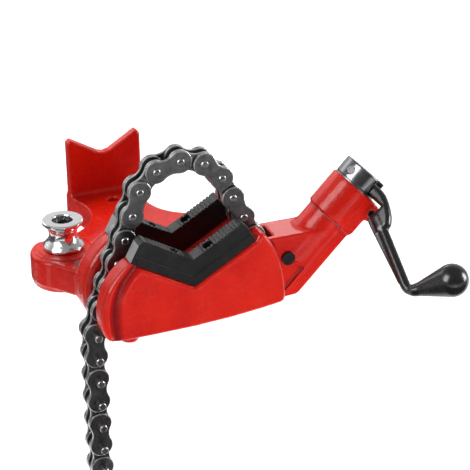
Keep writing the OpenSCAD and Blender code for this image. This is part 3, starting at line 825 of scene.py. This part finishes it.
def crank():
    c = Field((-14, -20, -66), (176, 20, 24), 0.9)
    blade = [(1.9, -2.4), (1.75, 41), (-13.5, 41.2), (-21.4, 58.3), (-10.3, 62.9), (-6.3, 62.5), (-4.2, 61.1), (0.7, 57),
             (5.4, 50.6), (9.6, 43.6), (13, 36.2), (14.4, 29.6), (14.6, 23), (15.5, 14.4), (17.2, 6.8), (18.1, 0), (12, -7.5)]

    def body(x, y, z):
        d2 = sd_poly(x[:, 0, :], z[0, :, :], [(w, u) for u, w in blade])[:, None, :]
        return both(d2, np.abs(y) - 5.6, 4.6)
    c.add(body)
    c.add(lambda x, y, z: both(np.hypot(x, z - 9.9) - 8.1, np.abs(y) - 5.9, 0.8))
    lean = math.tan(math.radians(23.2))
    start = (46, 0, 9.9 - 46 * lean)
    bend = (125.6, 0, -44.4)
    ball = (154.1, 0, -6.4)
    go = np.array([bend[0] - start[0], bend[2] - start[2]])
    go = go / np.linalg.norm(go)
    out = np.array([ball[0] - bend[0], ball[2] - bend[2]])
    out = out / np.linalg.norm(out)
    corner = np.array([bend[0], bend[2]])
    p0, p2 = corner - 9 * go, corner + 9 * out
    line = [(start[0], start[2])] + [tuple((1 - t) ** 2 * p0 + 2 * t * (1 - t) * corner + t * t * p2) for t in np.linspace(0, 1, 9)]

    across = np.array([-go[1], go[0]])
    line = [tuple(np.array(q) + 0.9 * across) for q in line]

    def rod(x, y, z):
        return np.hypot(sd_path(x[:, 0, :], z[0, :, :], line)[:, None, :], y) - 5.1
    c.add(rod, None, 2.0)
    # thin web along the arm's inner side, running out before the bend
    def on_arm(t, off):
        q = np.array([start[0], start[2]]) + go * t + across * off
        return (q[0], q[1])
    arm_len = math.hypot(bend[0] - start[0], bend[2] - start[2])
    web = [on_arm(-4, 2), on_arm(-4, -9.5), on_arm(6, -9.3), on_arm(arm_len * 0.5, -6.6), on_arm(arm_len * 0.86, -4.2), on_arm(arm_len * 0.9, 0)]

    def rib(x, y, z):
        return both(sd_poly(x[:, 0, :], z[0, :, :], web)[:, None, :], np.abs(y) - 3.4, 0.9)
    c.add(rib, None, 1.2)
    tip = (p2[0], 0, p2[1])
    c.add(lambda x, y, z: round_cone(x, y, z, tip, ball, 5.6, 16.4), None, 3.0)
    c.cut(lambda x, y, z: np.hypot(x, z - 9.9) - 4.05, None, 0.5)
    v, f, n = c.mesh(0.7)
    v, n = from_wnu(v, n)
    stand_for(put_mesh("crank_handle_shape", v, f, n), "crank_handle")


crank()


def bevel(node, width, seg=2, angle=28):
    ob = NODES[node]
    w = ob.modifiers.new("weld", "WELD")
    w.merge_threshold = 0.00001
    b = ob.modifiers.new("bevel", "BEVEL")
    b.width = width * MM
    b.segments = seg
    b.limit_method = "ANGLE"
    b.angle_limit = math.radians(angle)
    b.use_clamp_overlap = True
    b.harden_normals = True


for _n, _w in (("front_jaw", 0.45), ("rear_jaw", 0.45), ("guide_pin", 0.5), ("roller_nut", 0.6), ("jaw_screws", 0.35),
               ("roller_bolt", 0.6)):
    bevel(_n, _w)

# ------------------------------------------------------------------ light, floor and camera
sc = bpy.context.scene
sc.view_settings.view_transform = "Standard"
sc.view_settings.look = "None"

world = bpy.data.worlds.new("studio")
sc.world = world
world.use_nodes = True
wt = world.node_tree
direction = wt.nodes.new("ShaderNodeTexCoord").outputs["Generated"]
split = wt.nodes.new("ShaderNodeSeparateXYZ")
wt.links.new(direction, split.inputs[0])
sky = wt.nodes.new("ShaderNodeMapRange")
sky.interpolation_type = "SMOOTHSTEP"
sky.inputs["From Min"].default_value = -0.1
sky.inputs["From Max"].default_value = 0.75
sky.inputs["To Min"].default_value = 0.10
sky.inputs["To Max"].default_value = 0.27
wt.links.new(split.outputs["Z"], sky.inputs["Value"])
# the white sweep behind the piece, low in the sky
rear = wt.nodes.new("ShaderNodeMapRange")
rear.interpolation_type = "SMOOTHSTEP"
rear.inputs["From Min"].default_value = 0.0
rear.inputs["From Max"].default_value = 0.7
rear.inputs["To Max"].default_value = 0.75
wt.links.new(split.outputs["Y"], rear.inputs["Value"])
low = wt.nodes.new("ShaderNodeMapRange")
low.interpolation_type = "SMOOTHSTEP"
low.inputs["From Min"].default_value = 0.15
low.inputs["From Max"].default_value = 0.95
low.inputs["To Min"].default_value = 1.0
low.inputs["To Max"].default_value = 0.0
wt.links.new(split.outputs["Z"], low.inputs["Value"])
sweep = wt.nodes.new("ShaderNodeMath")
sweep.operation = "MULTIPLY_ADD"
wt.links.new(rear.outputs["Result"], sweep.inputs[0])
wt.links.new(low.outputs["Result"], sweep.inputs[1])
wt.links.new(sky.outputs["Result"], sweep.inputs[2])
wt.nodes["Background"].inputs["Color"].default_value = (1, 1, 1, 1)
wt.links.new(sweep.outputs[0], wt.nodes["Background"].inputs["Strength"])


def area(name, at, look, size, power, colour=(1, 1, 1)):
    d = bpy.data.lights.new(name, "AREA")
    d.shape = "RECTANGLE"
    d.size, d.size_y = size
    d.energy = power
    d.color = colour
    o = bpy.data.objects.new(name, d)
    sc.collection.objects.link(o)
    o.location = at
    o.rotation_mode = "QUATERNION"
    o.rotation_quaternion = (Vector(look) - Vector(at)).to_track_quat("-Z", "Y")
    return o


area("key", (-1.5, -0.3, 1.1), (0, 0, 0.1), (0.4, 0.6), 3.4).visible_glossy = False
area("sheen", (-1.35, -0.45, 0.95), (0, 0, 0.08), (1.0, 1.3), 30).visible_diffuse = False
area("top", (0.1, 1.2, 1.6), (0, 0, 0.05), (1.2, 1.2), 33).visible_glossy = False
area("fill", (0.1, -1.7, -0.05), (0.05, 0, 0.08), (0.8, 0.4), 10).visible_glossy = False
area("side", (1.35, -0.3, 0.26), (0.3, -0.05, 0.06), (0.4, 0.4), 4).visible_glossy = False
area("side_sheen", (1.3, -0.35, 0.3), (0.3, -0.05, 0.06), (0.5, 0.6), 13).visible_diffuse = False
area("rim", (-0.55, 1.3, 0.85), (-0.05, 0, 0.1), (0.9, 0.5), 2)
area("plate", (0.345, 0.56, 0.365), (0.12, 0, 0.0735), (0.15, 0.1), 0.16)


def card(name, corners, shade):
    """A dark card that only the gloss sees, as a flag beside a studio table."""
    me = bpy.data.meshes.new(name)
    me.from_pydata(corners, [], [(0, 1, 2, 3)])
    o = bpy.data.objects.new(name, me)
    sc.collection.objects.link(o)
    cs = Shader(name)
    cs.set(base=(shade, shade, shade, 1), rough=0.9, spec=0.1)
    me.materials.append(cs.mat)
    o.visible_camera = o.visible_diffuse = o.visible_shadow = False
    return o


floor_mesh = bpy.data.meshes.new("floor")
floor_mesh.from_pydata([(-6, -6, -0.252), (6, -6, -0.252), (6, 9, -0.252), (-6, 9, -0.252)], [], [(0, 1, 2, 3)])
floor = bpy.data.objects.new("floor", floor_mesh)
sc.collection.objects.link(floor)
fs = Shader("floor")
fs.set(base=(0.9, 0.9, 0.9, 1), rough=0.7, spec=0.15)
fs.bsdf.inputs["Emission Color"].default_value = (1, 1, 1, 1)
fs.bsdf.inputs["Emission Strength"].default_value = 0.35
floor_mesh.materials.append(fs.mat)

card("grey_card", [(-1.9, -0.8, -0.2495), (1.9, -0.8, -0.2495), (1.9, -0.14, -0.2495), (-1.9, -0.14, -0.2495)], 0.06)
card("rear_flag", [(-0.75, 0.5, -0.249), (0.5, 0.5, -0.249), (0.5, 0.5, 0.08), (-0.75, 0.5, 0.08)], 0.12)
card("side_flag", [(-0.46, 0.06, -0.249), (-0.46, 0.42, -0.249), (-0.46, 0.42, 0.13), (-0.46, 0.06, 0.13)], 0.05)

cam_data = bpy.data.cameras.new("camera")
cam = bpy.data.objects.new("camera", cam_data)
sc.collection.objects.link(cam)
sc.camera = cam
cam_data.sensor_width = 36.0
cam_data.lens = 160.85
cam_data.clip_end = 50
az, el, roll = math.radians(-20.68), math.radians(25.75), math.radians(-1.21)
back = Vector((math.sin(az) * math.cos(el), -math.cos(az) * math.cos(el), math.sin(el)))
right0 = Vector((math.cos(az), math.sin(az), 0))
up0 = back.cross(right0)
right = right0 * math.cos(roll) + up0 * math.sin(roll)
up = -right0 * math.sin(roll) + up0 * math.cos(roll)
dist, f = 2.047, 2100.0
place = back * dist - right * ((178.7 - 235) / f * dist) - up * (-(204.15 - 235) / f * dist) + Vector((0, 0, H))
m = Matrix((right, up, back)).transposed().to_4x4()
m.translation = place
cam.matrix_world = m
